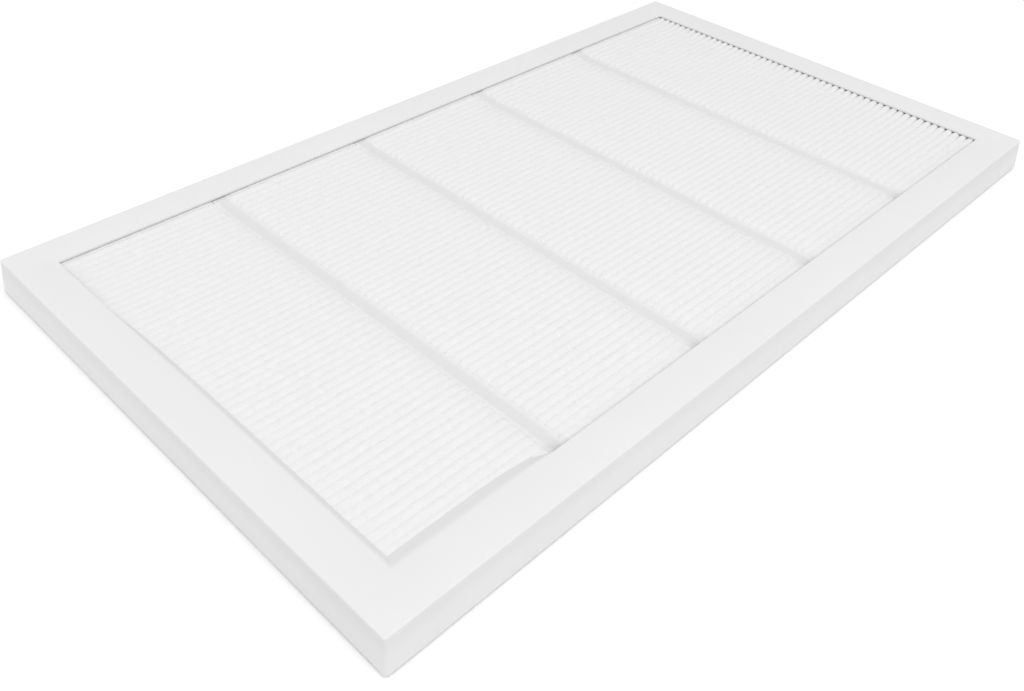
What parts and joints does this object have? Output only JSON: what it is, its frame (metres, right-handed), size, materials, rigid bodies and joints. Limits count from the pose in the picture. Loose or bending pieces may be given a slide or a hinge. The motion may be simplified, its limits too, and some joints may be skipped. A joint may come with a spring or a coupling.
{
  "type": "hepa filter panel",
  "caption": "Flat rectangular air filter panel: a white flanged frame round a fine-pleated sheet that shallow glue troughs cross, with a back frame and a foam gasket behind.",
  "frame": {"origin": "under the centre of the panel, on the surface that it lies on", "axes": "+X along the pleats and the long side, +Y along the short side, +Z out of the pleated face"},
  "size_m": [0.4538, 0.2588, 0.0173],
  "materials": {
    "frame_plastic": "satin white moulded plastic",
    "filter_media": "matt white fibrous sheet",
    "separator_glue": "smooth white hot-melt glue",
    "board": "stiff white non-woven board",
    "edge_glue": "off-white sealant",
    "gasket_foam": "white closed-cell foam"
  },
  "bodies": {
    "root": {"back_frame": "frame_plastic", "back_separator_1": "separator_glue", "back_separator_2": "separator_glue", "back_separator_3": "separator_glue", "back_separator_4": "separator_glue", "edge_sealant": "edge_glue", "end_board_bottom": "board", "end_board_top": "board", "face_frame": "frame_plastic", "front_separator_1": "separator_glue", "front_separator_2": "separator_glue", "front_separator_3": "separator_glue", "front_separator_4": "separator_glue", "gasket_bottom": "gasket_foam", "gasket_left": "gasket_foam", "gasket_right": "gasket_foam", "gasket_top": "gasket_foam", "pleated_media": "filter_media", "side_board_left": "board", "side_board_right": "board"}
  },
  "joints": []
}
